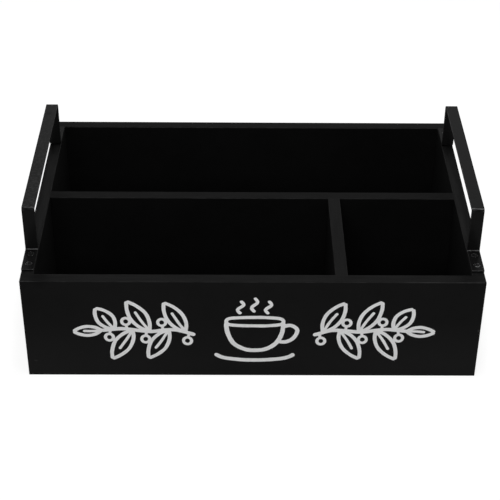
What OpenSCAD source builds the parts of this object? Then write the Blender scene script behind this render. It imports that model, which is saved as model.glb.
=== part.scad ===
// Coffee station organizer: an open painted board box with three compartments
// and two bent steel strip handles screwed to the rims of its side walls.
// The origin is the middle of the underside, +X to the right, +Y to the back, +Z up.

/* [Box] */
// Outside width of the box, left to right
box_w = 430; // [340:1:600]
// Outside depth of the box, front to back
box_d = 296; // [230:1:420]
// Height of the walls, table to rim
box_h = 112; // [85:1:180]
// Thickness of the four wall boards
wall_t = 12; // [10:0.5:18]
// Thickness of the bottom board
bottom_t = 9; // [6:0.5:15]
// Radius sanded along the rims and the outside edges
edge_r = 1; // [0.4:0.1:2]

/* [Dividers] */
// Thickness of the two divider boards
divider_t = 12; // [8:0.5:18]
// Clear depth of the two front compartments
front_depth = 130; // [80:1:170]
// Clear width of the small compartment on the right
small_width = 115; // [70:1:150]

/* [Handles] */
// Width of the steel strip
strip_w = 12; // [9:0.5:16]
// Thickness of the steel strip
strip_t = 2.5; // [2.2:0.1:4]
// Inside radius of the strip's bends
bend_r = 1; // [0.5:0.1:2.5]
// Height of the grip's top above the rim
grip_h = 49; // [30:1:90]
// Distance from the outside of the front and back walls to the ends of the feet
foot_setback = 15.5; // [3:0.5:50]
// Length of each foot, from the leg's outer face to its end
foot_l = 32.5; // [28:0.5:40]
// Radius of the corners at each foot's end
foot_corner_r = 1.2; // [0.5:0.1:4]

/* [Screws] */
// Diameter of the screws' threads
screw_d = 3.5; // [3:0.1:4]
// Diameter of the screws' heads
screw_head_d = 6.3; // [5.6:0.1:7]
// Thickness of the screw head's rim
screw_rim_t = 0.3; // [0.1:0.1:0.5]
// Length of the screws, head to tip
screw_l = 16; // [12:0.5:25]
// Distance from a leg's outer face to its nearer screw
screw_inset = 7; // [6.5:0.5:10]
// Distance between the two screws of a foot
screw_pitch = 16; // [10:0.5:20]
// How far the screw heads sit below the strip's face
screw_sink = 0.15; // [0:0.05:0.3]
// Gap round a thread where it passes through a foot
screw_foot_gap = 0.25; // [0.1:0.05:0.4]
// Gap round a thread in the hole that it has cut in the wall
screw_wall_gap = 0.05; // [0.02:0.01:0.1]
// Depth of that hole past the screw's tip
screw_end_room = 1; // [0.5:0.1:2]
// Width across the cross recess in a screw's head
cross_w = 3.4; // [2.4:0.1:4]
// Width of each slot of the cross recess
cross_slot = 0.8; // [0.5:0.1:1.2]
// Depth of the cross recess
cross_depth = 1.3; // [0.8:0.1:1.6]

/* [Brads] */
// Diameter of the brads' shanks
brad_d = 1.2; // [1:0.1:1.6]
// Diameter of the brads' heads
brad_head_d = 2; // [1.8:0.1:2.6]
// Thickness of the brads' heads
brad_head_t = 0.8; // [0.5:0.1:1.2]
// Length of the brads, head to tip
brad_l = 25; // [20:1:32]
// Depth of the brads' heads below the face of the board
brad_sink = 1.5; // [1:0.1:2.5]
// Gap round a brad in its hole
brad_gap = 0.05; // [0.02:0.01:0.1]
// Depth of that hole past the brad's tip
brad_end_room = 0.5; // [0.2:0.1:1]
// Least wood kept between a brad and the next brad or screw that crosses its path
brad_clear = 5; // [3:0.5:8]
// Brads in each upright joint
upright_brad_count = 3; // [2:1:4]
// Brads along the front and back edges of the bottom, and under the long divider
long_edge_brad_count = 4; // [2:1:6]
// Brads along the side edges of the bottom
side_edge_brad_count = 3; // [2:1:4]
// Brads under the short divider
short_divider_brad_count = 2; // [2:1:3]

/* [Hidden] */
$fn = 64;

PAINTED_BOARD = "#1c1c1d";
PAINTED_STEEL = "#2a2a2b";
SCREW_STEEL = "#232324";
BRAD_STEEL = "#8f9194";
PAINTED_FILLER = "#1f1f20";

// How far a cutting shape runs past the face that it cuts
over = 1;

// Outer faces of the box
left_x = -box_w / 2;
right_x = box_w / 2;
front_y = -box_d / 2;
back_y = box_d / 2;

// Inner faces of the walls
inner_left_x = left_x + wall_t;
inner_right_x = right_x - wall_t;
inner_front_y = front_y + wall_t;
inner_back_y = back_y - wall_t;

// Faces of the dividers
long_front_y = inner_front_y + front_depth;
long_back_y = long_front_y + divider_t;
short_right_x = inner_right_x - small_width;
short_left_x = short_right_x - divider_t;
long_mid_y = (long_front_y + long_back_y) / 2;
short_mid_x = (short_left_x + short_right_x) / 2;

// The three compartments as [left, right, front, back]
REAR_SPACE = [inner_left_x, inner_right_x, long_back_y, inner_back_y];
WIDE_SPACE = [inner_left_x, short_left_x, inner_front_y, long_front_y];
SMALL_SPACE = [short_right_x, inner_right_x, inner_front_y, long_front_y];

// A screw's head seats on a cone of 45 degrees, so its depth equals its change of radius
screw_cone_h = (screw_head_d - screw_d) / 2;
screw_tip_h = screw_d;
screw_wall_depth = screw_sink + screw_l - strip_t;
head_top_z = box_h + strip_t - screw_sink;

// Distance over the outside of a handle's two legs
handle_span = box_d - 2 * (foot_setback + foot_l);

// Brads stay clear of each other and of the screws above them
brad_reach = brad_sink + brad_l;
brad_tip_h = brad_d;
low_brad_z = brad_reach + brad_clear;
high_brad_z = box_h - screw_wall_depth - screw_end_room - brad_clear;
edge_brad_z = bottom_t / 2;
corner_room = brad_reach + 3 * brad_clear;
side_wall_x = right_x - wall_t / 2;
end_wall_y = back_y - wall_t / 2;

// Evenly spaced values from first to last
function spread(first, last, count) = [
    for (i = [0 : count - 1]) first + (last - first) * i / (count - 1)
];

upright_zs = spread(low_brad_z, high_brad_z, upright_brad_count);
long_edge_xs = spread(left_x + corner_room, right_x - corner_room, long_edge_brad_count);
side_edge_ys = spread(front_y + corner_room, back_y - corner_room, side_edge_brad_count);
short_edge_ys = spread(
    inner_front_y + front_depth / 3, inner_front_y + front_depth * 2 / 3, short_divider_brad_count
);

// Where each group of brads enters its board
FRONT_BRADS = concat(
    [for (x = [-side_wall_x, side_wall_x, short_mid_x], z = upright_zs) [x, front_y, z]],
    [for (x = long_edge_xs) [x, front_y, edge_brad_z]]
);
BACK_BRADS = concat(
    [for (x = [-side_wall_x, side_wall_x], z = upright_zs) [x, back_y, z]],
    [for (x = long_edge_xs) [x, back_y, edge_brad_z]]
);
LEFT_BRADS = concat(
    [for (z = upright_zs) [left_x, long_mid_y, z]],
    [for (y = side_edge_ys) [left_x, y, edge_brad_z]]
);
RIGHT_BRADS = concat(
    [for (z = upright_zs) [right_x, long_mid_y, z]],
    [for (y = side_edge_ys) [right_x, y, edge_brad_z]]
);
BOTTOM_BRADS = concat(
    [for (x = long_edge_xs) [x, long_mid_y, 0]],
    [for (y = short_edge_ys) [short_mid_x, y, 0]]
);
DIVIDER_BRADS = [for (z = upright_zs) [short_mid_x, long_back_y, z]];

// Turns that point +Z the way each group is driven
INTO_FRONT = [-90, 0, 0];
INTO_BACK = [90, 0, 0];
INTO_LEFT = [0, 90, 0];
INTO_RIGHT = [0, -90, 0];
INTO_BOTTOM = [0, 0, 0];

// Copies of the children, one at each place, turned the same way
module driven(places, turn) {
    for (place = places)
        translate(place)
            rotate(turn)
                children();
}

// A brad with its head at the start of the hole's shank, driven along +Z
module brad() {
    translate([0, 0, brad_sink]) {
        cylinder(h = brad_head_t, d = brad_head_d);
        cylinder(h = brad_l - brad_tip_h, d = brad_d);
        translate([0, 0, brad_l - brad_tip_h])
            cylinder(h = brad_tip_h, d1 = brad_d, d2 = brad_d / 4);
    }
}

// The hole that a brad makes, open at the face of the board
module brad_hole() {
    translate([0, 0, -over])
        cylinder(h = over + brad_sink + brad_head_t, d = brad_head_d + 2 * brad_gap);
    cylinder(h = brad_reach + brad_end_room, d = brad_d + 2 * brad_gap);
}

// The plug of filler over a brad's head, sanded flush
module filler() {
    cylinder(h = brad_sink, d = brad_head_d + 2 * brad_gap);
}

// All holes of one group
module holes(places, turn) {
    driven(places, turn)
        brad_hole();
}

// What sanding takes off one edge: the corner outside a quarter round, along +Z
module edge_cut(length, radius) {
    translate([0, 0, -over])
        linear_extrude(height = length + 2 * over)
            difference() {
                translate([-over, -over])
                    square(radius + over);
                translate([radius, radius])
                    circle(radius);
            }
}

// Edge cuts along X at the top and bottom outer edges of a front or back wall
module outer_edges_x(y, side) {
    for (z_side = [0, 1])
        translate([left_x, y, z_side * box_h])
            mirror([0, side, 0])
                mirror([0, 0, z_side])
                    rotate([90, 0, 90])
                        edge_cut(box_w, edge_r);
}

// Edge cuts along Y at the top and bottom outer edges of a side wall
module outer_edges_y(x, side) {
    for (z_side = [0, 1])
        translate([x, back_y, z_side * box_h])
            mirror([side, 0, 0])
                mirror([0, 0, z_side])
                    rotate([90, 0, 0])
                        edge_cut(box_d, edge_r);
}

// Edge cuts up the two corners of a front or back wall
module outer_corners(y, side) {
    for (x_side = [0, 1])
        translate([x_side == 0 ? left_x : right_x, y, 0])
            mirror([x_side, 0, 0])
                mirror([0, side, 0])
                    edge_cut(box_h, edge_r);
}

// The flare that sanding leaves round the mouth of a gap from a to b, as a flat shape
module flare_profile(a, b) {
    difference() {
        translate([a - edge_r, box_h - edge_r])
            square([b - a + 2 * edge_r, edge_r + over]);
        translate([a - edge_r, box_h - edge_r])
            circle(edge_r);
        translate([b + edge_r, box_h - edge_r])
            circle(edge_r);
    }
}

// The rounded mouth of one compartment: two flares that meet in a mitre at the corners
module mouth(space) {
    intersection() {
        translate([0, space[3] + edge_r, 0])
            rotate([90, 0, 0])
                linear_extrude(height = space[3] - space[2] + 2 * edge_r)
                    flare_profile(space[0], space[1]);
        translate([space[0] - edge_r, 0, 0])
            rotate([90, 0, 90])
                linear_extrude(height = space[1] - space[0] + 2 * edge_r)
                    flare_profile(space[2], space[3]);
    }
}

// A plain board between two corners
module board(low, high) {
    translate(low)
        cube(high - low);
}

// Places of the two screws in one foot, front or rear by the sign of side
function screw_ys(side) = [
    for (step = [0, 1]) side * (handle_span / 2 + screw_inset + step * screw_pitch)
];

// The holes that the four screws over one side wall have cut. Feet set near the
// corners put some of them in the front and back walls, so those take the cuts too.
module screw_wall_holes(x) {
    for (side = [-1, 1], y = screw_ys(side))
        translate([x, y, box_h - screw_wall_depth - screw_end_room])
            cylinder(h = screw_wall_depth + screw_end_room + over, d = screw_d + 2 * screw_wall_gap);
}

module front_panel() {
    color(PAINTED_BOARD)
        difference() {
            board([left_x, front_y, 0], [right_x, inner_front_y, box_h]);
            outer_edges_x(front_y, 0);
            outer_corners(front_y, 0);
            outer_edges_y(left_x, 0);
            outer_edges_y(right_x, 1);
            mouth(WIDE_SPACE);
            mouth(SMALL_SPACE);
            holes(FRONT_BRADS, INTO_FRONT);
            screw_wall_holes(-side_wall_x);
            screw_wall_holes(side_wall_x);
        }
}

module back_panel() {
    color(PAINTED_BOARD)
        difference() {
            board([left_x, inner_back_y, 0], [right_x, back_y, box_h]);
            outer_edges_x(back_y, 1);
            outer_corners(back_y, 1);
            outer_edges_y(left_x, 0);
            outer_edges_y(right_x, 1);
            mouth(REAR_SPACE);
            holes(BACK_BRADS, INTO_BACK);
            screw_wall_holes(-side_wall_x);
            screw_wall_holes(side_wall_x);
        }
}

// The cuts that both side walls share
module side_wall_cuts() {
    mouth(REAR_SPACE);
    holes(FRONT_BRADS, INTO_FRONT);
    holes(BACK_BRADS, INTO_BACK);
}

module left_panel() {
    color(PAINTED_BOARD)
        difference() {
            board([left_x, inner_front_y, 0], [inner_left_x, inner_back_y, box_h]);
            outer_edges_y(left_x, 0);
            mouth(WIDE_SPACE);
            side_wall_cuts();
            holes(LEFT_BRADS, INTO_LEFT);
            screw_wall_holes(-side_wall_x);
        }
}

module right_panel() {
    color(PAINTED_BOARD)
        difference() {
            board([inner_right_x, inner_front_y, 0], [right_x, inner_back_y, box_h]);
            outer_edges_y(right_x, 1);
            mouth(SMALL_SPACE);
            side_wall_cuts();
            holes(RIGHT_BRADS, INTO_RIGHT);
            screw_wall_holes(side_wall_x);
        }
}

module bottom_panel() {
    color(PAINTED_BOARD)
        difference() {
            board([inner_left_x, inner_front_y, 0], [inner_right_x, inner_back_y, bottom_t]);
            holes(FRONT_BRADS, INTO_FRONT);
            holes(BACK_BRADS, INTO_BACK);
            holes(LEFT_BRADS, INTO_LEFT);
            holes(RIGHT_BRADS, INTO_RIGHT);
            holes(BOTTOM_BRADS, INTO_BOTTOM);
        }
}

module long_divider() {
    color(PAINTED_BOARD)
        difference() {
            board([inner_left_x, long_front_y, bottom_t], [inner_right_x, long_back_y, box_h]);
            mouth(REAR_SPACE);
            mouth(WIDE_SPACE);
            mouth(SMALL_SPACE);
            holes(LEFT_BRADS, INTO_LEFT);
            holes(RIGHT_BRADS, INTO_RIGHT);
            holes(BOTTOM_BRADS, INTO_BOTTOM);
            holes(DIVIDER_BRADS, INTO_BACK);
        }
}

module short_divider() {
    color(PAINTED_BOARD)
        difference() {
            board([short_left_x, inner_front_y, bottom_t], [short_right_x, long_front_y, box_h]);
            mouth(WIDE_SPACE);
            mouth(SMALL_SPACE);
            holes(FRONT_BRADS, INTO_FRONT);
            holes(BOTTOM_BRADS, INTO_BOTTOM);
            holes(DIVIDER_BRADS, INTO_BACK);
        }
}

// A quarter turn of the strip round its bend centre, to the upper right of it
module bend() {
    difference() {
        intersection() {
            circle(bend_r + strip_t);
            square(bend_r + strip_t);
        }
        circle(bend_r);
    }
}

// One end of the handle seen from the side: foot, bend, leg, bend
module handle_end_profile() {
    leg_y = handle_span / 2;
    centre = bend_r + strip_t;
    // the foot, flat on the rim
    translate([leg_y + bend_r, 0])
        square([foot_l - bend_r, strip_t]);
    // the bend from the foot up into the leg
    translate([leg_y + bend_r, centre])
        rotate(180)
            bend();
    // the leg
    translate([leg_y - strip_t, centre])
        square([strip_t, grip_h - 2 * centre]);
    // the bend from the leg into the grip
    translate([leg_y - centre, grip_h - centre])
        bend();
}

// The whole strip seen from the side, with the rim at zero
module handle_profile() {
    straight = handle_span / 2 - bend_r - strip_t;
    translate([-straight, grip_h - strip_t])
        square([2 * straight, strip_t]);
    handle_end_profile();
    mirror([1, 0])
        handle_end_profile();
}

// Clearance hole and 45 degree countersink in a foot, with the rim at zero
module foot_hole() {
    seat_z = strip_t - screw_sink - screw_rim_t;
    hole_r = screw_d / 2 + screw_foot_gap;
    cone_low_z = seat_z - (screw_head_d / 2 - hole_r);
    top_r = screw_head_d / 2 + strip_t - seat_z;
    rotate_extrude()
        polygon([
            [0, -over], [hole_r, -over], [hole_r, cone_low_z],
            [top_r + over, strip_t + over], [0, strip_t + over]
        ]);
}

// One handle standing on the rim, centred on x = 0
module handle() {
    foot_end_y = handle_span / 2 + foot_l;
    difference() {
        translate([-strip_w / 2, 0, 0])
            rotate([90, 0, 90])
                linear_extrude(height = strip_w)
                    handle_profile();
        for (side = [-1, 1], y = screw_ys(side))
            translate([0, y, 0])
                foot_hole();
        for (x_side = [0, 1], y_side = [0, 1])
            mirror([x_side, 0, 0])
                mirror([0, y_side, 0])
                    translate([-strip_w / 2, -foot_end_y, 0])
                        edge_cut(strip_t, foot_corner_r);
    }
}

module left_handle() {
    color(PAINTED_STEEL)
        translate([-side_wall_x, 0, box_h])
            handle();
}

module right_handle() {
    color(PAINTED_STEEL)
        translate([side_wall_x, 0, box_h])
            handle();
}

// A countersunk cross-head screw, with its head's face at zero and its point down
module screw() {
    thread_r = screw_d / 2;
    tip_r = screw_d / 8;
    cone_low_z = -screw_rim_t - screw_cone_h;
    difference() {
        rotate_extrude()
            polygon([
                [0, 0], [screw_head_d / 2, 0], [screw_head_d / 2, -screw_rim_t],
                [thread_r, cone_low_z], [thread_r, screw_tip_h - screw_l],
                [tip_r, -screw_l], [0, -screw_l]
            ]);
        for (turn = [0, 90])
            rotate(turn)
                translate([-cross_w / 2, -cross_slot / 2, -cross_depth])
                    cube([cross_w, cross_slot, cross_depth + over]);
    }
}

// The two screws of one foot
module foot_screws(x, side) {
    for (y = screw_ys(side))
        translate([x, y, head_top_z])
            screw();
}

module left_front_screws() {
    color(SCREW_STEEL)
        foot_screws(-side_wall_x, -1);
}

module left_rear_screws() {
    color(SCREW_STEEL)
        foot_screws(-side_wall_x, 1);
}

module right_front_screws() {
    color(SCREW_STEEL)
        foot_screws(side_wall_x, -1);
}

module right_rear_screws() {
    color(SCREW_STEEL)
        foot_screws(side_wall_x, 1);
}

module front_brads() {
    color(BRAD_STEEL)
        driven(FRONT_BRADS, INTO_FRONT)
            brad();
}

module back_brads() {
    color(BRAD_STEEL)
        driven(BACK_BRADS, INTO_BACK)
            brad();
}

module left_brads() {
    color(BRAD_STEEL)
        driven(LEFT_BRADS, INTO_LEFT)
            brad();
}

module right_brads() {
    color(BRAD_STEEL)
        driven(RIGHT_BRADS, INTO_RIGHT)
            brad();
}

module bottom_brads() {
    color(BRAD_STEEL)
        driven(BOTTOM_BRADS, INTO_BOTTOM)
            brad();
}

module divider_brads() {
    color(BRAD_STEEL)
        driven(DIVIDER_BRADS, INTO_BACK)
            brad();
}

module front_fillers() {
    color(PAINTED_FILLER)
        driven(FRONT_BRADS, INTO_FRONT)
            filler();
}

module back_fillers() {
    color(PAINTED_FILLER)
        driven(BACK_BRADS, INTO_BACK)
            filler();
}

module left_fillers() {
    color(PAINTED_FILLER)
        driven(LEFT_BRADS, INTO_LEFT)
            filler();
}

module right_fillers() {
    color(PAINTED_FILLER)
        driven(RIGHT_BRADS, INTO_RIGHT)
            filler();
}

module bottom_fillers() {
    color(PAINTED_FILLER)
        driven(BOTTOM_BRADS, INTO_BOTTOM)
            filler();
}

module divider_fillers() {
    color(PAINTED_FILLER)
        driven(DIVIDER_BRADS, INTO_BACK)
            filler();
}

front_panel();
back_panel();
left_panel();
right_panel();
bottom_panel();
long_divider();
short_divider();
left_handle();
right_handle();
left_front_screws();
left_rear_screws();
right_front_screws();
right_rear_screws();
front_brads();
back_brads();
left_brads();
right_brads();
bottom_brads();
divider_brads();
front_fillers();
back_fillers();
left_fillers();
right_fillers();
bottom_fillers();
divider_fillers();
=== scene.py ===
# %% [markdown]
# # A black coffee station organizer
#
# This lesson dresses a finished CAD model: an open box of painted boards with two dividers and two bent
# steel handles. The CAD model already has every piece at its real size, so nothing is moved or resized
# here. What is left to make is the look: the camera, the light, the paint, the wear, and the line drawing
# on the front wall.
#
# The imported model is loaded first. Each CAD piece comes in as its own object, in metres, standing on
# z = 0 with +Y pointing to the back.

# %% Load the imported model
import math

import bmesh
import bpy
from mathutils import Matrix, Vector, noise


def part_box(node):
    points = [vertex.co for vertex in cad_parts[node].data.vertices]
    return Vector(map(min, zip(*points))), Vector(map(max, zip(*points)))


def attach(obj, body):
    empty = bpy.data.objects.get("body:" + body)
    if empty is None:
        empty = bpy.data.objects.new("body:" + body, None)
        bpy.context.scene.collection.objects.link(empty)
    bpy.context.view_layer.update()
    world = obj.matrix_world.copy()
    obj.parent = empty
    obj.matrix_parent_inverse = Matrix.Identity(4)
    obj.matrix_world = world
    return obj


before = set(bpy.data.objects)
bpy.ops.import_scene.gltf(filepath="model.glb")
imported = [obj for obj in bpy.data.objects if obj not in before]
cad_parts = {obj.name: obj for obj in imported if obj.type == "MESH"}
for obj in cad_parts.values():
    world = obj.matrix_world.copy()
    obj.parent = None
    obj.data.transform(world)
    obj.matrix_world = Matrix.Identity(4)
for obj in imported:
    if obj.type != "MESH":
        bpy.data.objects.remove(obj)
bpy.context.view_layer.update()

print("CAD nodes:", len(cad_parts))

# %% [markdown]
# ## Measures to work from
#
# A dressing script should never guess where a surface is. It can ask the model. The boxes of two nodes
# give most of the places that the later steps need: the front face, the rim, the walls and the grips.

# %% Read the surfaces off the model
MM = 0.001

front_low, front_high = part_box("front_panel")
FRONT_Y = front_low.y
RIM_Z = front_high.z
HALF_W = front_high.x
HALF_D = -front_low.y
BOARD_T = front_high.y - front_low.y
GRIP_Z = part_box("left_handle")[1].z
print("front face at y = %.1f mm" % (FRONT_Y / MM))
print("rim at z = %.1f mm, grip at z = %.1f mm" % (RIM_Z / MM, GRIP_Z / MM))
print("boards %.1f mm thick" % (BOARD_T / MM))

# %% [markdown]
# ## The camera
#
# The picture to match looks down on the box from the front, from about 1.4 metres away, through a long
# lens. A long lens from far off keeps the sides almost parallel, and a short one close by would splay
# them. The place, the tilt and the lens were worked out together from the edges of the box.
#
# The tilt is built from three turns: first the camera is tipped up from looking straight down, then it is
# swung round the vertical, and the last small turn about its own axis is the roll of a hand-held camera.

# %% Set the camera
CAMERA_PLACE = Vector((-13.71, -1148.8, 848.8)) * MM
LOOK_DOWN = math.radians(35.0)
SWING = math.radians(-0.599)
ROLL = math.radians(0.555)
LENS_MM = 97.43
SENSOR_MM = 36

camera = bpy.data.objects.new("camera", bpy.data.cameras.new("camera"))
bpy.context.scene.collection.objects.link(camera)
camera.matrix_world = (
    Matrix.Translation(CAMERA_PLACE)
    @ Matrix.Rotation(SWING, 4, "Z")
    @ Matrix.Rotation(math.pi / 2 - LOOK_DOWN, 4, "X")
    @ Matrix.Rotation(ROLL, 4, "Z")
)
camera.data.lens = LENS_MM
camera.data.sensor_width = SENSOR_MM
bpy.context.scene.camera = camera
print("camera %.2f m away, looking down %.0f degrees" % (CAMERA_PLACE.length, math.degrees(LOOK_DOWN)))

# %% [markdown]
# ## Light
#
# Black paint hardly scatters light, so what shapes it is what it reflects. The set is a white room with
# two soft boxes. The room and the square box in front give the faces their even dark grey, and the narrow
# box overhead draws the thin bright lines along the sanded edges and the bends of the steel.
#
# The world is white where the camera or a reflection looks at it, and a quiet grey where it only lights
# things. That keeps the backdrop white without pouring more light on the object.

# %% Light path switch, shared by the world and the floor
def seen_directly(tree):
    """A value that is 1 on camera, glossy and transmission rays, and 0 on the others."""
    path = tree.nodes.new("ShaderNodeLightPath")
    both = tree.nodes.new("ShaderNodeMath")
    both.operation = "MAXIMUM"
    tree.links.new(path.outputs["Is Camera Ray"], both.inputs[0])
    tree.links.new(path.outputs["Is Glossy Ray"], both.inputs[1])
    every = tree.nodes.new("ShaderNodeMath")
    every.operation = "MAXIMUM"
    tree.links.new(both.outputs[0], every.inputs[0])
    tree.links.new(path.outputs["Is Transmission Ray"], every.inputs[1])
    return every.outputs[0]


print("light path switch ready")

# %% [markdown]
# The room is a world with two backgrounds, one quiet and one white, and the switch picks between them. The
# view transform is set to Standard here, so that a colour renders about as it is written.

# %% White room
ROOM_LIGHT = 0.15
ROOM_WHITE = 1.0

bpy.context.scene.view_settings.view_transform = "Standard"

world = bpy.data.worlds.new("white_room")
bpy.context.scene.world = world
world.use_nodes = True
room = world.node_tree
room.nodes.clear()
pick = room.nodes.new("ShaderNodeMixShader")
room.links.new(seen_directly(room), pick.inputs["Fac"])
for slot, strength in ((1, ROOM_LIGHT), (2, ROOM_WHITE)):
    background = room.nodes.new("ShaderNodeBackground")
    background.inputs["Color"].default_value = (1, 1, 1, 1)
    background.inputs["Strength"].default_value = strength
    room.links.new(background.outputs[0], pick.inputs[slot])
out = room.nodes.new("ShaderNodeOutputWorld")
room.links.new(pick.outputs[0], out.inputs["Surface"])
print("the room lights the box at", ROOM_LIGHT)

# %% [markdown]
# A soft box is an area lamp. A lamp shines along its own -Z, so it is turned until that axis points from
# its place to its aim. A long narrow lamp gives a long thin highlight, and a square one a broad, soft one.

# %% Soft boxes
def soft_box(name, place, aim, size, power):
    """A rectangular lamp at place that faces aim. Places and sizes are in metres, power in watts."""
    data = bpy.data.lights.new(name, "AREA")
    data.shape = "RECTANGLE"
    data.size, data.size_y = size
    data.energy = power
    lamp = bpy.data.objects.new(name, data)
    lamp.location = place
    lamp.rotation_euler = (aim - place).to_track_quat("-Z", "Y").to_euler()
    bpy.context.scene.collection.objects.link(lamp)
    print("%s of %g watts, %g by %g m" % (name, power, *size))


soft_box("overhead_box", Vector((0.03, 0, 1.45)), aim=Vector((0, 0, 0.1)), size=(0.9, 0.2), power=12)
soft_box("fill_box", Vector((-0.15, -1.35, 1.15)), aim=Vector((0, 0, 0.06)), size=(0.8, 0.8), power=10)

# %% [markdown]
# ## The floor
#
# The box stands on plain white paper. A big flat square is enough. Its paint is an ordinary matt white for
# all the light that bounces off it, and where the camera looks at it a glow is added, so that it reads as
# white paper while the soft shadow under the box still shows in the part that isn't glow.

# %% Lay the floor
FLOOR_REACH = 12.0
PAPER_GLOW = 0.885
PAPER_SHADE = 0.22
PAPER_BOUNCE = 0.72

floor_mesh = bpy.data.meshes.new("floor")
floor_mesh.from_pydata(
    [(x * FLOOR_REACH, y * FLOOR_REACH, 0) for x, y in ((-1, -1), (1, -1), (1, 1), (-1, 1))],
    [],
    [(0, 1, 2, 3)],
)
floor = bpy.data.objects.new("floor", floor_mesh)
bpy.context.scene.collection.objects.link(floor)

paper = bpy.data.materials.new("white_paper")
paper.use_nodes = True
sheet = paper.node_tree
sheet.nodes.clear()
bounce = sheet.nodes.new("ShaderNodeBsdfDiffuse")
bounce.inputs["Color"].default_value = (PAPER_BOUNCE, PAPER_BOUNCE, PAPER_BOUNCE, 1)
shade = sheet.nodes.new("ShaderNodeBsdfDiffuse")
shade.inputs["Color"].default_value = (PAPER_SHADE, PAPER_SHADE, PAPER_SHADE, 1)
glow = sheet.nodes.new("ShaderNodeEmission")
glow.inputs["Strength"].default_value = PAPER_GLOW
lit = sheet.nodes.new("ShaderNodeAddShader")
sheet.links.new(shade.outputs[0], lit.inputs[0])
sheet.links.new(glow.outputs[0], lit.inputs[1])
choose = sheet.nodes.new("ShaderNodeMixShader")
sheet.links.new(seen_directly(sheet), choose.inputs["Fac"])
sheet.links.new(bounce.outputs[0], choose.inputs[1])
sheet.links.new(lit.outputs[0], choose.inputs[2])
end = sheet.nodes.new("ShaderNodeOutputMaterial")
sheet.links.new(choose.outputs[0], end.inputs["Surface"])
floor_mesh.materials.append(paper)
print("floor", 2 * FLOOR_REACH, "m across")

# %% [markdown]
# ## Helpers for paint
#
# Every finish here is built from the same few bricks: noise at some real size, a value squeezed into a
# useful range, and a mask that picks out the rounded edges. Writing each brick once keeps the recipes
# short, and lets the sizes be given in millimetres. The bricks come in four cells, each a class that adds
# its own to the one before, and the last one is the Recipe that every finish uses.
#
# The first brick holds the material itself, with ways to add a node and to link it.

# %% A material and its nodes
class Nodes:
    """One material's node tree, with a Principled shader and short ways to feed it."""

    def __init__(self, name, colour, roughness, specular):
        """Starts a plain paint, for the recipe to vary."""
        self.material = bpy.data.materials.new(name)
        self.material.use_nodes = True
        self.tree = self.material.node_tree
        self.shader = self.tree.nodes["Principled BSDF"]
        self.shader.inputs["Base Color"].default_value = (*colour, 1)
        self.shader.inputs["Roughness"].default_value = roughness
        self.shader.inputs["Specular IOR Level"].default_value = specular
        self.place = self.add("ShaderNodeTexCoord").outputs["Object"]
        self.material.diffuse_color = (*colour, 1)

    def add(self, kind, **settings):
        """A new node of that kind, with its settings."""
        node = self.tree.nodes.new(kind)
        for key, value in settings.items():
            setattr(node, key, value)
        return node

    def feed(self, source, target):
        """Links a socket to the target, or sets a number on the target itself."""
        if isinstance(source, (int, float)):
            target.default_value = source
        else:
            self.tree.links.new(source, target)


print("first brick ready: nodes")

# %% [markdown]
# A mask is a value from 0 to 1. Two masks multiplied leave the places that both have, and the larger of
# two masks is the places that either has. So `times` and `most` are the words that the recipes use most.
# `span` makes a mask out of a measure, such as a height, with a soft step from one value to another.

# %% Values and masks
class Masks(Nodes):
    """Adds arithmetic, and masks by place."""

    def maths(self, operation, first, *others):
        """The operation on two values, and then on its result and the next value, to the last."""
        for other in others:
            node = self.add("ShaderNodeMath", operation=operation)
            self.feed(first, node.inputs[0])
            self.feed(other, node.inputs[1])
            first = node.outputs[0]
        return first

    def times(self, *values):
        """The product: what all the masks have."""
        return self.maths("MULTIPLY", *values)

    def most(self, *values):
        """The largest: what any of the masks has."""
        return self.maths("MAXIMUM", *values)

    def least(self, *values):
        """The smallest of the values."""
        return self.maths("MINIMUM", *values)

    def plus(self, first, second):
        """The values added up."""
        return self.maths("ADD", first, second)

    def minus(self, first, second):
        """The first value less the second."""
        return self.maths("SUBTRACT", first, second)

    def span(self, value, low, high, to_low=0.0, to_high=1.0):
        """Maps low..high to to_low..to_high, with the ends held."""
        node = self.add("ShaderNodeMapRange", clamp=True)
        self.feed(value, node.inputs["Value"])
        for name, number in zip(("From Min", "From Max", "To Min", "To Max"), (low, high, to_low, to_high)):
            node.inputs[name].default_value = number
        return node.outputs["Result"]

    def axis(self, letter):
        """One coordinate of the place, in metres."""
        parts = self.add("ShaderNodeSeparateXYZ")
        self.feed(self.place, parts.inputs[0])
        return parts.outputs[letter]

    def outwards(self, letter):
        """Distance from the middle plane along one axis."""
        return self.maths("ABSOLUTE", self.axis(letter), 0)

    def across(self, letter, minus_side, plus_side):
        """One number on the minus side of an axis and another on the plus side."""
        return self.span(self.axis(letter), -10 * MM, 10 * MM, minus_side, plus_side)


print("second brick ready: masks")

# %% [markdown]
# Noise gives a finish its life. Its size is given in millimetres of the real thing, because a stipple of
# one millimetre reads as roller paint and one of ten reads as plaster.

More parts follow.
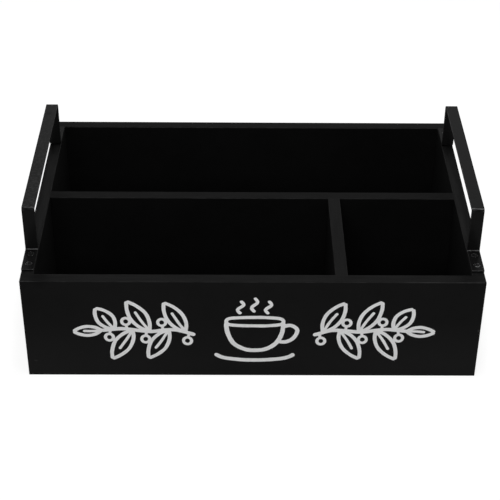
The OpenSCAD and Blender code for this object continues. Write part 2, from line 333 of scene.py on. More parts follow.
# %% Noise and colour
class Colours(Masks):
    """Adds noise and mixed colours."""

    def noise(self, size_mm, detail=2.0, roughness=0.5, place=None):
        """Noise whose blotches are about size_mm across."""
        node = self.add("ShaderNodeTexNoise")
        node.inputs["Scale"].default_value = 1000 / size_mm
        node.inputs["Detail"].default_value = detail
        node.inputs["Roughness"].default_value = roughness
        self.feed(place or self.place, node.inputs["Vector"])
        return node.outputs["Fac"]

    def stretched(self, stretch):
        """The place squeezed by stretch, so that noise on it is drawn out into streaks."""
        node = self.add("ShaderNodeVectorMath", operation="MULTIPLY")
        self.feed(self.place, node.inputs[0])
        node.inputs[1].default_value = stretch
        return node.outputs[0]

    def blend(self, amount, first, second):
        """The colour between first and second. Each is a colour or another socket."""
        node = self.add("ShaderNodeMix", data_type="RGBA")
        self.feed(amount, node.inputs["Factor"])
        for source, target in ((first, node.inputs["A"]), (second, node.inputs["B"])):
            if isinstance(source, tuple):
                target.default_value = (*source, 1)
            else:
                self.feed(source, target)
        return node.outputs["Result"]

    def scaled(self, colour, amount):
        """The colour, multiplied by amount."""
        node = self.add("ShaderNodeVectorMath", operation="SCALE")
        self.feed(colour, node.inputs[0])
        self.feed(amount, node.inputs["Scale"])
        return node.outputs[0]


print("third brick ready: colours")

# %% [markdown]
# The edge mask uses a simple fact. On a flat board the normal points along one axis, and on a sanded edge
# or a bend it points between two. One minus the largest of its three parts is zero on the flats and
# grows to about 0.3 in the middle of a rounded edge.

# %% Edges, spots and bumps
class Recipe(Colours):
    """Adds masks by shape, spots and bumps. Every finish below is a Recipe."""

    def normal_parts(self):
        """How far the surface faces along X, Y and Z, each from 0 to 1."""
        normal = self.add("ShaderNodeNewGeometry").outputs["Normal"]
        size = self.add("ShaderNodeVectorMath", operation="ABSOLUTE")
        self.feed(normal, size.inputs[0])
        parts = self.add("ShaderNodeSeparateXYZ")
        self.feed(size.outputs[0], parts.inputs[0])
        return parts.outputs

    def rounded(self):
        """0 on flat faces, rising to about 0.3 in the middle of a rounded edge."""
        x, y, z = self.normal_parts()
        return self.minus(1.0, self.most(x, y, z))

    def grazing(self, low, high):
        """Goes from low, seen straight on, to high where the surface turns edge-on to the eye."""
        facing = self.add("ShaderNodeLayerWeight")
        return self.span(facing.outputs["Facing"], 0.45, 0.9, low, high)

    def spot(self, centre, radius_mm, soft_mm, stretch=(1, 1, 1), mirrored=False):
        """1 inside a round patch about centre, fading to 0 over soft_mm.

        stretch squeezes it along an axis. mirrored repeats it on the other sides of the middle planes.
        """
        place = self.place
        if mirrored:
            fold = self.add("ShaderNodeVectorMath", operation="ABSOLUTE")
            self.feed(place, fold.inputs[0])
            place = fold.outputs[0]
        shift = self.add("ShaderNodeVectorMath", operation="SUBTRACT")
        self.feed(place, shift.inputs[0])
        shift.inputs[1].default_value = centre
        scale = self.add("ShaderNodeVectorMath", operation="DIVIDE")
        self.feed(shift.outputs[0], scale.inputs[0])
        scale.inputs[1].default_value = stretch
        length = self.add("ShaderNodeVectorMath", operation="LENGTH")
        self.feed(scale.outputs[0], length.inputs[0])
        return self.span(length.outputs["Value"], radius_mm * MM, (radius_mm + soft_mm) * MM, 1.0, 0.0)

    def bump(self, height, depth_mm, strength=1.0):
        """Raises the surface's look by height, up to depth_mm."""
        node = self.add("ShaderNodeBump")
        node.inputs["Distance"].default_value = depth_mm * MM
        node.inputs["Strength"].default_value = strength
        self.feed(height, node.inputs["Height"])
        self.feed(node.outputs["Normal"], self.shader.inputs["Normal"])


print("last brick ready: recipes")

# %% [markdown]
# A piece wears a recipe once the recipe's material sits in the first material slot of its mesh. The plain
# material that a CAD mesh comes with makes room for it.

# %% Paint a node
def paint(names, recipe):
    """Gives the recipe's material to each named CAD node."""
    for name in names:
        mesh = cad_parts[name].data
        mesh.materials.clear()
        mesh.materials.append(recipe.material)
    print(recipe.material.name, "on", len(names), "nodes")


# %% [markdown]
# ## Painted board
#
# The boards are smooth fibreboard under black satin paint. Seen close, such paint has three scales: a
# fine stipple left by the roller, about a millimetre across; broad, faint clouds where the coat is
# thicker or thinner; and the worn edges, where sanding and handling polish the paint a little paler. The
# cut edges of fibreboard drink more paint than its faces, so the rims dry duller. How light or dark each
# board's rim reads is painted light and shade.
#
# The fillers over the brads are sanded flush and painted with the boards, so they share the material.
# All nodes share one frame, and the texture is placed by that frame, so no seam shows between them.
#
# The look is built up in this order: the coat, then painted light low on the walls, then wear.
# Every black here is far below what the eye calls black on a screen. The list makes the steps plain, from
# dark to pale: painted shade by the feet, the coat and its clouds, painted light from the floor, a polished
# edge, and a line of wear and painted highlight at the ends of the top edges.

# %% Tones of the board paint
PAINTED_SHADE_BLACK = (0.002, 0.002, 0.002)
BOARD_BLACK = (0.0052, 0.0052, 0.0052)
BOARD_PALE = (0.0066, 0.0066, 0.0066)
BOARD_PAINTED_BOUNCE = (0.0115, 0.0115, 0.0115)
EDGE_RUBBED = (0.019, 0.019, 0.019)
PALE_WEAR_AND_HIGHLIGHT = (0.04, 0.04, 0.04)
print("board tones from %.4f to %.4f" % (PAINTED_SHADE_BLACK[0], PALE_WEAR_AND_HIGHLIGHT[0]))

# %% [markdown]
# A wall's outer face and its inner face can't be told apart by their direction, but by their place: the
# outer faces lie at the full width or depth of the box. `outwards` gives the distance from the middle,
# so one span finds both walls of a pair.
#
# The coat mixes two noises of different size. On the rims it breaks into streaks along the board, as a
# cut edge is sanded lengthwise before it is painted. The streaks are the same kind of noise, drawn out
# in one direction by `stretched`. Then painted shading scales the colour: each board's rim by its own
# tone, as painted light and shade, and the inner faces darker, as painted shade.

# %% The coat and the streaks on the rims
def outer_walls(board):
    """Masks for the front and back faces, and for all four outer faces."""
    outer_y = board.span(board.outwards("Y"), HALF_D - 2 * MM, HALF_D - 1 * MM)
    outer_x = board.span(board.outwards("X"), HALF_W - 2 * MM, HALF_W - 1 * MM)
    return outer_y, board.most(outer_x, outer_y)


def board_coat(board, outside, grain, rim_painted_light, inside_painted_shade):
    """The fresh coat: its colour and thickness, the rims and their streaks, with painted light and shade.
    """
    clouds = board.noise(90, detail=3)
    fine_clouds = board.noise(14, detail=4, roughness=0.6)
    thickness = board.plus(board.times(clouds, 0.6), board.times(fine_clouds, 0.4))
    coat = board.span(thickness, 0.35, 0.65)
    colour = board.blend(coat, BOARD_BLACK, BOARD_PALE)

    at_rim = board.span(board.axis("Z"), RIM_Z - 4 * MM, RIM_Z - 3 * MM)
    upward = board.span(board.normal_parts()[2], 0.9, 1.0)
    rim = board.times(upward, at_rim)
    streaks = board.noise(2.2, detail=3, roughness=0.6, place=board.stretched(grain))
    # painted light and shade: each board's rim scaled paler or darker by its tone
    rim_streaks_and_light = board.span(streaks, 0.32, 0.68, 0.7 * rim_painted_light, 1.3 * rim_painted_light)
    # painted shade: the inner faces darker than the outer ones
    face_painted_shade = board.span(outside, 0, 1, inside_painted_shade, 1.0)
    shade = board.times(rim, board.minus(rim_streaks_and_light, face_painted_shade))
    colour = board.scaled(colour, board.plus(shade, face_painted_shade))
    return colour, coat, rim, streaks


print("outer faces %.0f mm to the sides and %.0f mm to front and back" % (HALF_W / MM, HALF_D / MM))

# %% [markdown]
# Low on the outer walls the colour is painted paler, as painted light bounced up from the floor, and
# more so toward the ends. It fades out upward, so a span of the height is enough, times a span of the
# distance from the middle.

# %% Painted floor light low on the outer walls
BOUNCE_TOP = 70 * MM


def painted_floor_bounce(board, colour, outside):
    """Painted light from the floor, paler low down and thinning out upward."""
    # painted light: paler toward the bottom of the outer walls
    low_down = board.span(board.axis("Z"), 0, BOUNCE_TOP, 1.0, 0.0)
    toward_ends = board.span(board.outwards("X"), 20 * MM, 190 * MM, 0.35, 0.95)
    return board.blend(board.times(outside, low_down, toward_ends), colour, BOARD_PAINTED_BOUNCE)


print("bounce_light up to %.0f mm" % (BOUNCE_TOP / MM))

# %% [markdown]
# Edges wear where things touch them. `rounded` is 0 on the flats and rises on the small rounding of an
# arris, so it finds every edge at once. A noise with hard steps breaks the line, because wear is never
# even. On two stretches of the top edges at the front and back, the right end and the left corner, the
# upper part of the arris gets a paler line, partly wear and partly a painted highlight.

# %% Worn edges
LEFT_CORNER = (-206 * MM, -198 * MM)
RIGHT_END = (135 * MM, 155 * MM)


def worn_edges(board, colour, outer_y):
    """Polished arrises everywhere, and at the ends of the top edges a line of wear and painted highlight.
    """
    edge = board.span(board.rounded(), 0.03, 0.25)
    patchy = board.span(board.noise(9, detail=4, roughness=0.7), 0.42, 0.62, 0.15, 0.9)
    worn = board.times(edge, patchy)
    colour = board.blend(worn, colour, EDGE_RUBBED)

    left = board.span(board.axis("X"), *LEFT_CORNER, 1.0, 0.0)
    right = board.span(board.axis("X"), *RIGHT_END)
    ends = board.times(board.most(left, right), outer_y)
    crown = board.span(board.normal_parts()[2], 0.5, 0.75)
    # wear and painted highlight: a paler line along the upper arris at the two ends
    end_highlight = board.times(edge, ends, crown, board.span(patchy, 0, 1, 0.5, 1))
    return board.blend(end_highlight, colour, PALE_WEAR_AND_HIGHLIGHT), worn


print("more wear left of x = %.0f mm and right of %.0f mm" % (LEFT_CORNER[1] / MM, RIGHT_END[0] / MM))

# %% [markdown]
# A few marks make a box this one and no other. The rims round the handles' feet are painted darker, as
# painted shade from the feet, more at the left. On the front there is one nick near the right end, and one
# short pale dash low at the left. Each is a `spot`, a soft round patch that can be squeezed into a dash.

# %% Marks of use
SHADE_BY_FEET = (206 * MM, 95 * MM, RIM_Z)
FRONT_RIM_SHADE_PATCHES = (
    ((-197 * MM, FRONT_Y + 5 * MM, RIM_Z), 0.45),
    ((199 * MM, FRONT_Y + 5 * MM, RIM_Z), 0.2),
)
NICK = (213.4 * MM, FRONT_Y, 55.7 * MM)
# a short pale dash low at the left of the front
PALE_DASH = (-207 * MM, FRONT_Y, 18 * MM)


def marked(board, colour):
    """Patches of painted shade on the rims by the feet, a nick and a pale dash."""
    # painted shade: the rims round the handles' feet darker, more at the left
    feet_shade_spot = board.spot(SHADE_BY_FEET, 12, 14, mirrored=True)
    colour = board.blend(board.times(feet_shade_spot, board.across("X", 0.5, 0.25)), colour, PAINTED_SHADE_BLACK)
    # painted shade on the front rim just in front of each foot
    for place, strength in FRONT_RIM_SHADE_PATCHES:
        colour = board.blend(board.times(board.spot(place, 5, 6), strength), colour, PAINTED_SHADE_BLACK)

    nick = board.spot(NICK, 0.9, 0.5)
    pale_dash = board.spot(PALE_DASH, 1.3, 0.6, stretch=(1, 1, 0.4))
    bare = board.most(board.times(nick, 0.8), board.times(pale_dash, 0.5))
    return board.blend(bare, colour, PALE_WEAR_AND_HIGHLIGHT)


print("shade_painted spots at the feet and", len(FRONT_RIM_SHADE_PATCHES), "on the front rim, a nick and a scratch")

# %% [markdown]
# Now the parts come together in one recipe. Gloss follows the same masks as colour: a thick coat is a bit
# duller, a rim is duller still, and a polished edge shines. The stipple of the roller goes into the bump,
# together with the streaks of the rims.
#
# Four materials come out of the function. Those along the width have their grain along X, those along
# the depth along Y. Their tones are painted light and shade: the back rims are painted darker than the
# front's and the side rims paler, and the inner faces are painted darker, the short divider's most.

# %% Black satin board paint
def board_paint(name, grain, rim_painted_light, inside_painted_shade=0.85):
    """Black paint on board. grain draws out the rim's marks; the tones are painted light and shade."""
    board = Recipe(name, BOARD_BLACK, roughness=0.42, specular=0.022)
    outer_y, outside = outer_walls(board)
    colour, coat, rim, streaks = board_coat(board, outside, grain, rim_painted_light, inside_painted_shade)
    # painted light low on the outer walls
    colour = painted_floor_bounce(board, colour, outside)
    colour, worn = worn_edges(board, colour, outer_y)
    board.feed(marked(board, colour), board.shader.inputs["Base Color"])

    matt = board.plus(board.span(coat, 0, 1, 0.38, 0.46), board.times(rim, 0.04))
    matt = board.minus(matt, board.times(worn, 0.12))
    board.feed(board.plus(matt, board.grazing(0.0, 0.4)), board.shader.inputs["Roughness"])
    stipple = board.noise(1.1, detail=2)
    board.bump(board.plus(stipple, board.times(rim, streaks)), 0.02, 0.5)
    return board


ALONG_X = (0.06, 1, 1)
ALONG_Y = (1, 0.06, 1)
FILLERS = [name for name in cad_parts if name.endswith("_fillers")]
# The tones below are painted light and shade on the rims, and painted shade on the inner faces.
front_paint = board_paint("black_board_front", ALONG_X, rim_painted_light=1.0)
back_paint = board_paint("black_board_back", ALONG_X, rim_painted_light=0.65)
short_paint = board_paint("black_board_short", ALONG_Y, rim_painted_light=0.95, inside_painted_shade=0.55)
side_paint = board_paint("black_board_side", ALONG_Y, rim_painted_light=1.3, inside_painted_shade=0.75)
paint(["front_panel", "bottom_panel"] + FILLERS, front_paint)
paint(["back_panel", "long_divider"], back_paint)
paint(["short_divider"], short_paint)
paint(["left_panel", "right_panel"], side_paint)

# %% [markdown]
# ## Painted steel
#
# The handles are flat steel strip, bent cold, then sprayed. Sprayed paint on steel is harder and a little
# glossier than paint on board, with a finer orange peel. It is rubbed along the arrises, where hands and
# packing touch it first, and the pale lines over the bends and the ends of the feet are painted
# highlights.
#
# The feet are dressed unlike the grips, so the recipe needs to know where they are. The screws' places are
# read off the model. The two handles mirror each other front to back and left to right, so one pair of
# places does for all eight screws, once `spot` folds the space with its mirrored option.

# %% Find the feet and the screws
STRIP_T = 2.5 * MM
FOOT_Z = RIM_Z + STRIP_T

screws_low, screws_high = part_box("right_front_screws")
HEAD_R = (screws_high.x - screws_low.x) / 2
SCREW_X = (screws_high.x + screws_low.x) / 2
SCREW_YS = (-screws_high.y + HEAD_R, -screws_low.y - HEAD_R)
SCREW_TOP = screws_high.z
print("screws at y = %.1f and %.1f mm" % tuple(y / MM for y in SCREW_YS))

# %% [markdown]
# The tones of the steel, again from dark to pale: a deep black for a scuff and for painted shade, the
# fresh coat at the grip and a paler one near the feet, painted light from below, a greyish film on top of
# the grip, a painted highlight at the bend and end of the foot, and the pale lines of wear and painted
# highlight. Only the last two are pale.

# %% Tones of the sprayed steel
STEEL_DEEP = (0.002, 0.002, 0.002)
STEEL_BLACK = (0.0056, 0.0056, 0.0056)
STEEL_PAINTED_LOW_LIGHT = (0.0074, 0.0074, 0.0074)
FILM_PALE = (0.023, 0.023, 0.023)
FOOT_BEND_HIGHLIGHT = (0.12, 0.12, 0.12)
STEEL_RUB_AND_HIGHLIGHT = (0.13, 0.13, 0.13)
print("steel tones from %.4f to %.4f" % (STEEL_DEEP[0], STEEL_RUB_AND_HIGHLIGHT[0]))

# %% [markdown]
# A bend turns the surface through every direction between flat and upright, and that is how the recipe
# finds it: where neither the y part nor the z part of the normal is near zero, the surface is turning.
# The upper bends at the grip are split in two. Their crest, just over the edge of the top, gets a painted
# highlight. The brow below it gets painted shade, a thin deep black line against the crest.

# %% Masks for the bends, the arrises and the feet
steel = Recipe("black_sprayed_steel", STEEL_BLACK, roughness=0.25, specular=0.035)
x, y, z = steel.normal_parts()
foot = steel.span(steel.axis("Z"), FOOT_Z + 4 * MM, FOOT_Z + 12 * MM, 1.0, 0.0)
grip = steel.minus(1.0, foot)

turn = steel.span(steel.least(y, z), 0.2, 0.5)
side = steel.span(steel.least(x, steel.most(y, z)), 0.08, 0.45)
crest = steel.times(steel.span(z, 0.78, 0.85), steel.span(z, 0.92, 0.97, 1.0, 0.0))
brow = steel.times(steel.span(z, 0.1, 0.3), steel.span(z, 0.65, 0.78, 1.0, 0.0))
holes = [steel.spot((SCREW_X, hole_y, FOOT_Z), 4.0, 0.3, mirrored=True) for hole_y in SCREW_YS]
around_screw = steel.most(*holes)
print("steel masks ready, the feet end %.1f mm up" % (FOOT_Z / MM))

# %% [markdown]
# The pale lines: a painted highlight, strong over the bend and the end of each front foot and hardly there
# on the rear feet; wear, faint along the sides of the strip; and a painted highlight, moderate on the
# crest of the grip, more so on the right handle. A patchy noise breaks them, and they stop round the
# screws, where the coat is thick and no hand rubs.

# %% Rubbed lines and painted highlights
# wear along the strip's sides
along_sides = steel.times(side, steel.span(foot, 0, 1, 0.25, 0.05))
# painted highlight over the bend and front end of each foot
foot_highlight = steel.times(turn, foot, steel.across("Y", 1.0, 0.1))
# painted highlight on the crest of the grip's upper bends
crest_highlight = steel.times(crest, grip, steel.across("X", 0.5, 0.9))
patchy = steel.span(steel.noise(5, detail=4, roughness=0.7), 0.38, 0.6, 0.35, 1.0)
off_screws = steel.minus(1.0, around_screw)
rub_and_highlight = steel.times(steel.most(along_sides, foot_highlight, crest_highlight), patchy, off_screws)
print("rubbed lines ready")

# %% [markdown]
# On the top of the grips lies a dusty film, speckled, thicker on the left handle and toward the front.
# Then come the dark places: a scuff near the rear end of the left grip, and painted shade on the tops of
# the feet, on the brows and in the narrow gaps round the screw heads.

# %% Film, scuff and painted shade
SCUFF = (-210.4 * MM, 78 * MM, GRIP_Z)

level = steel.span(z, 0.97, 1.0)
speckle = steel.span(steel.noise(2.2, detail=4, roughness=0.7), 0.47, 0.62)
toward_front = steel.span(steel.axis("Y"), -60 * MM, 60 * MM, 1.0, 0.4)
filmed = steel.times(speckle, level, grip, steel.across("X", 1.0, 0.1), toward_front)
# painted light: the coat paler low on the legs, toward the feet
height = steel.span(steel.axis("Z"), RIM_Z, RIM_Z + 45 * MM)
coat = steel.blend(height, STEEL_PAINTED_LOW_LIGHT, STEEL_BLACK)
coat = steel.blend(filmed, coat, FILM_PALE)

scuff = steel.spot(SCUFF, 2.2, 2.0)
# painted shade on the tops of the feet
painted_foot_shade = steel.times(level, foot, 0.4)
# painted shade on the brows below the crests
painted_brow_shade = steel.times(brow, grip, 0.85)
# a real scuff, and painted shade on the feet, the brows and round the screw heads
dark = steel.most(scuff, painted_foot_shade, painted_brow_shade, steel.times(around_screw, 0.85))
coat = steel.blend(dark, coat, STEEL_DEEP)
print("film and painted_darkening ready")

# %% [markdown]
# Last comes the finish itself. The left handle was sprayed coarser than the right one, so its orange peel
# is twice as deep. At a grazing look the roughness goes up, or the steel would mirror the white room.

# %% Black sprayed steel
# the pale lines: painted highlight at the feet, wear and painted highlight at the grip
line_tone = steel.blend(foot, STEEL_RUB_AND_HIGHLIGHT, FOOT_BEND_HIGHLIGHT)
steel.feed(steel.blend(rub_and_highlight, coat, line_tone), steel.shader.inputs["Base Color"])
satin = steel.span(steel.noise(25, detail=3), 0.3, 0.7, 0.22, 0.28)
steel.feed(steel.plus(satin, steel.grazing(0.0, 0.6)), steel.shader.inputs["Roughness"])
orange_peel = steel.times(steel.noise(1.5, detail=3), steel.across("X", 0.8, 0.4))
steel.bump(orange_peel, 0.09)
paint(["left_handle", "right_handle"], steel)

# %% [markdown]
# A bar from the mill never has knife-sharp arrises. A bevel modifier rounds the strip's edges by a few
# tenths of a millimetre, without touching the CAD mesh under it. Only edges sharper than the angle limit
# are rounded, so the facets of the bends stay as they are.
#
# Two modifiers prepare the mesh for it. A mesh from CAD comes as loose faces that only touch, and a bevel
# can't round an edge that belongs to one face, so a weld joins them first. Then the small triangles of
# each flat are merged into one face, or they would get in the way of the rounding at the corners. The
# bevel's own clamp is off, as the short facets of a corner would shrink the whole bevel to a hair, and
# so is its loop slide, which folds faces over each other round the screw holes.

# %% Round the strip's arrises
TOUCHING = 0.001 * MM
FLAT = math.radians(1)
SHARP = math.radians(50)
STRIP_ARRIS_R = 0.35 * MM


def round_edges(names, width, segments):
    """Joins the faces of each CAD mesh, merges its flats, then rounds the sharp edges."""
    for name in names:
        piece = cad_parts[name]
        piece.modifiers.new("join_faces", "WELD").merge_threshold = TOUCHING
        flats = piece.modifiers.new("merge_flats", "DECIMATE")
        flats.decimate_type = "DISSOLVE"
        flats.angle_limit = FLAT
        bevel = piece.modifiers.new("arris", "BEVEL")
        bevel.width = width
        bevel.segments = segments
        bevel.limit_method = "ANGLE"
        bevel.angle_limit = SHARP
        bevel.harden_normals = True
        bevel.use_clamp_overlap = False
        bevel.loop_slide = False
        print(name, "edges rounded by %.2f mm" % (width / MM))


round_edges(["left_handle", "right_handle"], STRIP_ARRIS_R, segments=2)

# %% [markdown]
# ## Screws and brads
#
# The screws are black like the handles. The turned edge of a head is the first place where the blacking
# chips, so each head shows a broken bright ring round a dark cross. The rear screws are hardly touched.
#
# The ring is found by place: the top face of a head, less a round spot in its middle. Where the metal is
# bare, the same mask drives Metallic, because bare steel reflects unlike paint.

# %% Find the chipped rings
SCREW_BLACK = (0.006, 0.006, 0.006)
SCREW_BRIGHT = (0.16, 0.16, 0.16)
MIDDLE_R_MM = 2.6

screw = Recipe("black_screw", SCREW_BLACK, roughness=0.3, specular=0.12)
middles = [screw.spot((SCREW_X, y, SCREW_TOP), MIDDLE_R_MM, 0.2, mirrored=True) for y in SCREW_YS]
face = screw.span(screw.axis("Z"), SCREW_TOP - 0.3 * MM, SCREW_TOP - 0.2 * MM)
ring = screw.times(face, screw.minus(1.0, screw.most(*middles)))
turned_edge = screw.most(ring, screw.span(screw.rounded(), 0.05, 0.2))
more_on_right = screw.across("X", 0.0, 0.04)
chips = screw.span(screw.plus(screw.noise(1.8, detail=3), more_on_right), 0.49, 0.57)
bare = screw.times(turned_edge, chips, screw.across("Y", 1.0, 0.08))
print("screw heads %.1f mm across" % (2 * HEAD_R / MM))

# %% [markdown]
# The heads get a finer bevel than the strip, as a turned edge is crisper than a rolled one. The rest of a
# screw is inside the board, and takes the same black.

# %% Screws
HEAD_ARRIS_R = 0.12 * MM

screw.feed(screw.blend(bare, SCREW_BLACK, SCREW_BRIGHT), screw.shader.inputs["Base Color"])
screw.feed(bare, screw.shader.inputs["Metallic"])
screw.feed(screw.span(screw.noise(1.5), 0.3, 0.7, 0.25, 0.4), screw.shader.inputs["Roughness"])
screw.bump(screw.noise(0.4), 0.01, 0.5)
SCREWS = [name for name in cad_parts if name.endswith("_screws")]
paint(SCREWS, screw)
round_edges(SCREWS, HEAD_ARRIS_R, segments=1)

# %% [markdown]
# The brads are bare wire, shut inside the boards. Nobody sees them, and they still get a proper finish,
# because a part is sometimes taken apart. Drawn wire has a bright skin with faint dull patches.

# %% Brads
WIRE_DULL = (0.42, 0.43, 0.44)
WIRE = (0.5, 0.51, 0.52)
WIRE_BRIGHT = (0.55, 0.56, 0.57)

brad = Recipe("bare_wire", WIRE, roughness=0.35, specular=0.5)
brad.shader.inputs["Metallic"].default_value = 1.0
wire_patches = brad.noise(2.0, detail=3)
brad.feed(brad.blend(wire_patches, WIRE_DULL, WIRE_BRIGHT), brad.shader.inputs["Base Color"])
brad.bump(brad.noise(0.2), 0.005, 0.5)
BRADS = [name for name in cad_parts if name.endswith("_brads")]
paint(BRADS, brad)

# %% [markdown]
# ## The drawing on the front wall
#
# The front wall carries a line drawing in pale paint, put on by hand with a round brush: a cup with steam
# over it, and a coffee sprig with leaves and berries on either side. It could be an image on the surface,
# but lines of paint have a thickness, round ends and edges that waver a little. So each stroke is built
# as a very low ribbon of geometry, which also stays sharp at any zoom.
#
# A stroke begins as a few points in millimetres on the wall: u runs to the right from the middle, and v up
# from the ground. A smooth curve is drawn through them, the way a hand moves from mark to mark.

# %% A smooth line through a few marks
STEP_MM = 0.4


def smooth_line(marks, closed=False):
    """Points on a smooth curve through the marks, about STEP_MM apart."""
    marks = [Vector(mark) for mark in marks]
    count = len(marks)
    line = []
    for i in range(count if closed else count - 1):
        start, end = marks[i], marks[(i + 1) % count]
        before = marks[i - 1] if closed or i else 2 * start - end
        after = marks[(i + 2) % count] if closed or i + 2 < count else 2 * end - start
        pieces = max(2, round((end - start).length / STEP_MM))
        for k in range(pieces):
            t = k / pieces
            line.append(
                0.5 * (2 * start + (end - before) * t
                       + (2 * before - 5 * start + 4 * end - after) * t ** 2
                       + (3 * start - before - 3 * end + after) * t ** 3)
            )
    line.append(line[0].copy() if closed else marks[-1])
    return line


print("points on a line %.1f mm apart" % STEP_MM)

# %% [markdown]
# A stroke is a row of rings, joined like the hoops of a tube. They stand evenly along the line. Toward the
# ends they come closer together, because there the outline turns quickly.

# %% Where the rings stand
RING_GAP_MM = 1.4
END_RINGS = 6


def ring_stops(total, half, closed):
    """Where along a stroke its rings stand: evenly, and closer together round the ends."""
    if closed:
        count = round(total / RING_GAP_MM)
        return [total * k / count for k in range(count)]
    arc = [half * (1 - math.cos(k * math.pi / (2 * END_RINGS - 2))) for k in range(END_RINGS)]
    straight = total - 2 * half
    count = max(1, round(straight / RING_GAP_MM))
    middle = [half + straight * k / count for k in range(1, count)]
    return arc + middle + [total - s for s in reversed(arc)]


print("a ring every %.1f mm, and %d at each end" % (RING_GAP_MM, END_RINGS))

# %% [markdown]
# Every ring has the same cross-section: nearly flat on top, rounded down to the wall at both sides, with
# its back a hair inside the board so that no gap shows. At the ends the width shrinks along a quarter
# circle, which gives the round end of a loaded brush. The width and the path also drift with slow noise, by
# a tenth of a millimetre or two, so the line doesn't look machined.

# %% One ring of paint
PAINT_RISE = 0.07 * MM
PAINT_ROOT = 0.02 * MM
CROWN = ((-1.0, 0.2), (-0.82, 0.8), (0.0, 1.0), (0.82, 0.8), (1.0, 0.2), (1.0, None), (-1.0, None))
DRIFT_MM = 0.25
DRIFT_SIZE_MM = 11
SWELL = 0.09
SWELL_SIZE_MM = 5
SWELL_SEED = 9.0
THINNEST = 0.06


def paint_ring(mesh, here, ahead, width, near):
    """One cross-section of the stroke. near goes from 0 at an end of it to 1 where it is full."""
    side = Vector((-ahead.y, ahead.x))
    drift = noise.noise(Vector((here.x / DRIFT_SIZE_MM, here.y / DRIFT_SIZE_MM, width)))
    swell = noise.noise(Vector((here.x / SWELL_SIZE_MM, here.y / SWELL_SIZE_MM, SWELL_SEED)))
    reach = width / 2 * (1 + SWELL * swell) * max(THINNEST, math.sqrt(1 - (1 - near) ** 2))
    middle = here + side * DRIFT_MM * drift
    rise = PAINT_RISE * (0.5 + 0.5 * near)
    ring = []
    for across, lift in CROWN:
        flat = middle + side * across * reach
        deep = FRONT_Y + PAINT_ROOT if lift is None else FRONT_Y - rise * lift
        ring.append(mesh.verts.new((flat.x * MM, deep, flat.y * MM)))
    return ring


print("paint %.2f mm proud of the wall" % (PAINT_RISE / MM))

# %% [markdown]
# The brush walks along the line, sets a ring at each stop and joins it to the one before. A closed stroke
# ends where it began. An open one gets a face over each end, so that every ribbon is a closed solid.

# %% One brush stroke
def brush(mesh, marks, width, closed=False):
    """Adds one closed ribbon of paint, width mm wide, to the bmesh, and returns its length."""
    line = smooth_line(marks, closed)
    along = [0.0]
    for a, b in zip(line, line[1:]):
        along.append(along[-1] + (b - a).length)
    total = along[-1]
    half = width / 2
    rings = []
    at = 0
    for stop in ring_stops(total, half, closed):
        while at < len(line) - 2 and along[at + 1] < stop:
            at += 1
        here = line[at].lerp(line[at + 1], (stop - along[at]) / (along[at + 1] - along[at]))
        ahead = (line[at + 1] - line[at]).normalized()
        near = 1.0 if closed else min(1.0, min(stop, total - stop) / half)
        rings.append(paint_ring(mesh, here, ahead, width, near))
    joins = zip(rings, rings[1:] + rings[:1]) if closed else zip(rings, rings[1:])
    for one, other in joins:
        for k in range(len(CROWN)):
            mesh.faces.new((one[k], one[k - 1], other[k - 1], other[k]))
    if not closed:
        mesh.faces.new(rings[0])
        mesh.faces.new(reversed(rings[-1]))
    return total


print("brush ready")

# %% [markdown]
# The parts of the drawing are lists of marks. The cup is a bowl under a flattened ring, with an ear on the
# right, a shallow saucer below and three curls of steam. Only half of the rim is listed, since the other
# half is the same upside down.

# %% Cup, saucer and steam
CUP_U = 2.0
RIM_V = 66
HALF_RIM = [(27, 0), (24.6, 3.3), (16, 4.6), (0, 5.0), (-16, 4.6), (-24.6, 3.3)]
BOWL = [(-27, 65), (-25.5, 52), (-20, 40), (-10, 33), (0, 31.5), (10, 33), (20, 40), (25.5, 52), (27, 65)]
EAR = [(26, 60), (34, 61.5), (40, 56), (37, 47), (30, 42), (22.5, 42)]
SAUCER = [(-38, 27), (-30, 22.5), (-14, 20), (0, 19.5), (14, 20), (30, 22.5), (38, 27)]
STEAM = ((-13, 75, 1.0), (0, 77, 1.1), (13, 75, 1.0))


def from_cup(marks):
    """Moves marks that are given from the middle of the cup."""
    return [(CUP_U + u, v) for u, v in marks]


def draw_cup(mesh):
    """The rim, bowl, ear, saucer and steam. Like all that draw, it returns the length of its lines."""
    rim = [(u, RIM_V + v) for u, v in HALF_RIM] + [(-u, RIM_V - v) for u, v in HALF_RIM]
    drawn = brush(mesh, from_cup(rim), width=3.6, closed=True)
    for marks, width in ((BOWL, 4.4), (EAR, 4.0), (SAUCER, 4.2)):
        drawn += brush(mesh, from_cup(marks), width)
    for u, v, tall in STEAM:
        curl = [(u, v), (u - 3.2, v + 5 * tall), (u + 2.4, v + 10.5 * tall), (u - 0.6, v + 15.5 * tall)]
        drawn += brush(mesh, from_cup(curl), width=3.3)
    return drawn


print("the cup's middle is %.0f mm right of the wall's" % CUP_U)

# %% [markdown]
# Leaves and berries repeat, so each is a function. A leaf is two bowed sides that meet in a point, with a
# rib between them. A berry is a ring on a short stalk.

# %% Leaf and berry
LEAF_SIDE = ((0, 0), (0.22, 0.72), (0.5, 1), (0.78, 0.66), (1, 0))
LEAF_RIB = ((0.05, 0), (0.35, 0.03), (0.66, -0.01))
STALK_MM = 4.8
BERRY_OUT_MM = 9.2
BERRY_R_MM = 3.8
BERRY_MARKS = 12


def draw_leaf(mesh, base, angle, length, width):
    """Two bowed sides and a rib. A leaf's marks are parts of its length and width."""
    lean = Matrix.Rotation(angle, 2)

    def grown(marks):
        return [base + lean @ Vector((length * s, width * w)) for s, w in marks]

    drawn = 0
    for half in (0.5, -0.5):
        drawn += brush(mesh, grown([(s, w * half) for s, w in LEAF_SIDE]), width=3.6)
    return drawn + brush(mesh, grown(LEAF_RIB), width=2.8)


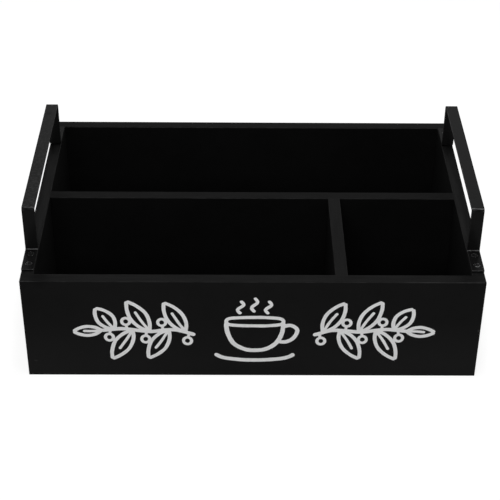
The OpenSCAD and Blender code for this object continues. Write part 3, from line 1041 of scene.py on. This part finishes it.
def draw_berry(mesh, base, angle):
    """A ring, a little taller than wide, on a short stalk."""
    stalk = Vector((math.cos(angle), math.sin(angle)))
    centre = base + stalk * BERRY_OUT_MM
    turns = [k * math.tau / BERRY_MARKS for k in range(BERRY_MARKS)]
    ring = [centre + BERRY_R_MM * Vector((math.cos(a), 1.05 * math.sin(a))) for a in turns]
    drawn = brush(mesh, ring, width=3.0, closed=True)
    return drawn + brush(mesh, [base, base + stalk * STALK_MM], width=2.8)


print("a berry is %.1f mm across, in the middle of its line" % (2 * BERRY_R_MM))

# %% [markdown]
# A sprig is listed once, as it grows to the right from its own root. Each leaf has its place on the stem,
# its angle in degrees, its length and its width, and each berry its place and its angle. The left sprig is
# the same, mirrored: its marks run the other way, and each angle is taken from the opposite direction.

# %% Sprig
STEM = ((0, 50), (20, 56), (44, 54), (68, 57), (89, 55))
LEAVES = (
    (9, 53.5, 60, 40, 15.5),
    (25, 56, -60, 40, 15.5),
    (43, 54, 60, 41, 15.5),
    (59, 56, -60, 41, 15.5),
    (76, 56.5, 56, 30, 15.5),
    (88, 55, -3, 27, 10.8),
)
BERRIES = ((6, 52, -80), (30.5, 55.5, 84), (46, 54, -84), (64.5, 56.5, 86), (80, 56, -82))


def draw_sprig(mesh, root_u, way):
    """One sprig that grows outwards from root_u. way is 1 to the right and -1 to the left."""

    def place(x, y):
        return Vector((root_u + way * x, y))

    def tilt(degrees):
        return math.radians(degrees if way > 0 else 180 - degrees)

    drawn = brush(mesh, [place(x, y) for x, y in STEM], width=4.0)
    for x, y, degrees, length, width in LEAVES:
        drawn += draw_leaf(mesh, place(x, y), tilt(degrees), length, width)
    for x, y, degrees in BERRIES:
        drawn += draw_berry(mesh, place(x, y), tilt(degrees))
    return drawn


print("a sprig has", len(LEAVES), "leaves and", len(BERRIES), "berries")

# %% [markdown]
# The strokes of each motif go into one mesh, so the drawing is three pieces. Each one rides on the box's
# only body.

# %% Lay the strokes on the wall
def paint_piece(name, draw, **how):
    """Makes one piece of painted strokes with a function that draws into a bmesh."""
    drawing = bmesh.new()
    drawn = draw(drawing, **how)
    bmesh.ops.recalc_face_normals(drawing, faces=drawing.faces)
    shape = bpy.data.meshes.new(name)
    drawing.to_mesh(shape)
    drawing.free()
    piece = bpy.data.objects.new(name, shape)
    bpy.context.scene.collection.objects.link(piece)
    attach(piece, "root")
    print("%s: %.0f mm of brush line" % (name, drawn))
    return piece


DRAWING = [
    paint_piece("drawn_cup", draw_cup),
    paint_piece("drawn_sprig_left", draw_sprig, root_u=-54, way=-1),
    paint_piece("drawn_sprig_right", draw_sprig, root_u=57, way=1),
]

# %% [markdown]
# The paint itself is an opaque chalky white with a touch of grey. A brush leaves it slightly uneven: a bit
# thinner and greyer in places, with fine streaks that catch the light.

# %% Pale brush paint
PAINT_THIN = (0.74, 0.74, 0.74)
PAINT_MEAN = (0.80, 0.80, 0.80)
PAINT_FULL = (0.82, 0.82, 0.82)

pale = Recipe("pale_brush_paint", PAINT_MEAN, roughness=0.6, specular=0.3)
streaks = pale.noise(1.6, detail=3, roughness=0.6)
patches = pale.noise(12, detail=2)
mixed = pale.plus(pale.times(streaks, 0.5), pale.times(patches, 0.5))
cover = pale.span(mixed, 0.35, 0.6)
pale.feed(pale.blend(cover, PAINT_THIN, PAINT_FULL), pale.shader.inputs["Base Color"])
pale.feed(pale.span(streaks, 0.3, 0.7, 0.5, 0.7), pale.shader.inputs["Roughness"])
pale.bump(streaks, 0.03, 0.5)
for piece in DRAWING:
    piece.data.materials.append(pale.material)
print(pale.material.name, "on", len(DRAWING), "pieces")
